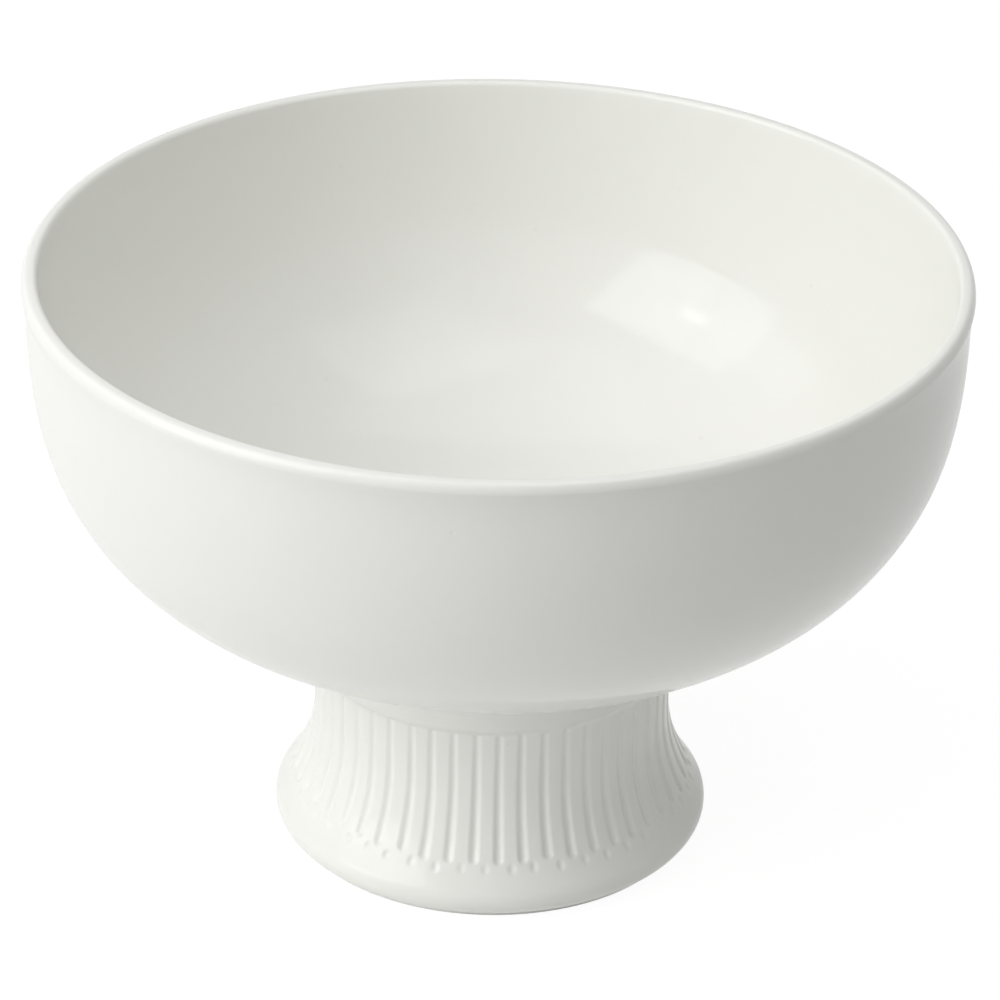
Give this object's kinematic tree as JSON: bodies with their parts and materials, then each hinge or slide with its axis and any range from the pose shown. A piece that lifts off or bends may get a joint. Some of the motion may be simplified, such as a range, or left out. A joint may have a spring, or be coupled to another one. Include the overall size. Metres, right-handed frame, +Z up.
{
  "type": "footed bowl",
  "caption": "Deep round glazed bowl with a beaded rim, joined to a hollow fluted pedestal foot with a rolled base.",
  "frame": {"origin": "on the axis, at the surface that the foot ring stands on", "axes": "+Z up along the axis, towards the mouth of the bowl; the bowl is round, so X and Y are free, and a land of the fluting is centred on -Y"},
  "size_m": [0.25, 0.25, 0.167],
  "materials": {
    "glaze": "gloss",
    "slip": "matt"
  },
  "bodies": {
    "root": {"bowl": "glaze", "slip_joint": "slip", "foot": "glaze"}
  },
  "joints": []
}
